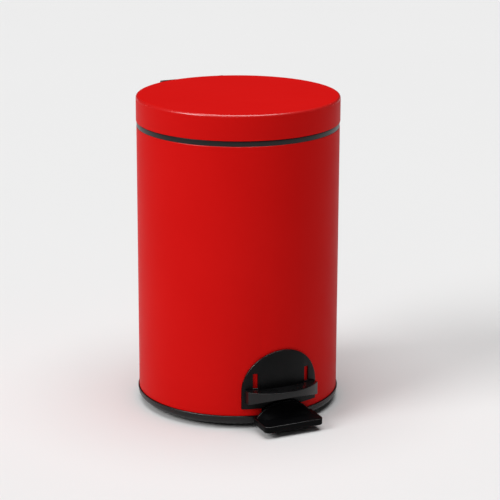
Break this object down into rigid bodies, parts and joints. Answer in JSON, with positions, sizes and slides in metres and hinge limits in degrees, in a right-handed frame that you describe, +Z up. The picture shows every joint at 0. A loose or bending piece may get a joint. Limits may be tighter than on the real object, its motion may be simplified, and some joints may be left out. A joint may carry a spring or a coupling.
{
  "type": "pedal waste can",
  "caption": "Round red steel pedal can with black base and rim, flat hinged lid, hooded pedal, push rod and lift-out bucket with a bail, for oily or general waste.",
  "frame": {"origin": "on the can's axis, at the floor it stands on", "axes": "+Z up the can's axis, -Y towards the pedal, +Y towards the lid's hinge, +X to the right when facing the pedal"},
  "size_m": [0.253, 0.303, 0.3896],
  "materials": {
    "red_paint": "satin powder coat",
    "black_plastic": "fine moulded grain, slight gloss",
    "rubber": "matt",
    "zinc_steel": "zinc plated",
    "bright_steel": "drawn wire",
    "grey_plastic": "moulded, light scratches",
    "nylon": "plain"
  },
  "bodies": {
    "can": {"body_shell": "red_paint", "rim_ring": "black_plastic", "base_ring": "black_plastic", "floor_ring": "rubber", "base_deck": "black_plastic", "deck_screws": "zinc_steel", "pedal_guard": "black_plastic", "guard_washers": "zinc_steel", "fulcrum_bracket": "zinc_steel", "bracket_rivets": "zinc_steel", "fulcrum_pin": "bright_steel", "fulcrum_clip": "zinc_steel", "lower_rod_guide": "black_plastic", "upper_rod_guide": "black_plastic", "guide_rivets": "zinc_steel", "hinge_bracket": "black_plastic", "hinge_screws": "zinc_steel", "hinge_nuts": "zinc_steel", "hinge_pin": "bright_steel"},
    "lid": {"lid_shell": "red_paint", "lid_ring": "black_plastic", "lid_bracket": "zinc_steel", "hinge_cover": "black_plastic", "lid_screws": "zinc_steel", "lid_buffers": "rubber"},
    "pedal": {"pedal_lever": "zinc_steel", "pedal_pad": "black_plastic", "pad_screws": "zinc_steel", "pivot_bush": "nylon"},
    "rod": {"push_rod": "bright_steel", "rod_collars": "zinc_steel", "rod_clip": "black_plastic"},
    "bucket": {"bucket": "grey_plastic"},
    "bail": {"bail": "bright_steel", "bail_grip": "black_plastic"}
  },
  "joints": [
    {"name": "lid_hinge", "type": "hinge", "parent": "can", "child": "lid", "pos_m": [0, 0.1325, 0.368], "axis": [-1, 0, 0], "range_deg": [0, 75]},
    {"name": "pedal_press", "type": "hinge", "parent": "can", "child": "pedal", "pos_m": [0, -0.082, 0.029], "axis": [1, 0, 0], "range_deg": [0, 5.2]},
    {"name": "rod_lift", "type": "slide", "parent": "can", "child": "rod", "axis": [0, 0, 1], "range_m": [0, 0.01801]},
    {"name": "bucket_lift", "type": "slide", "parent": "can", "child": "bucket", "axis": [0, 0, 1], "range_m": [0, 0.016]},
    {"name": "bail_swing", "type": "hinge", "parent": "bucket", "child": "bail", "pos_m": [0, 0, 0.331], "axis": [-1, 0, 0], "range_deg": [0, 15]}
  ],
  "couplings": [
    {"joint": "pedal_press", "follows": "lid_hinge", "ratio": 0.06937},
    {"joint": "rod_lift", "follows": "lid_hinge", "m_per_rad": 0.013751}
  ]
}
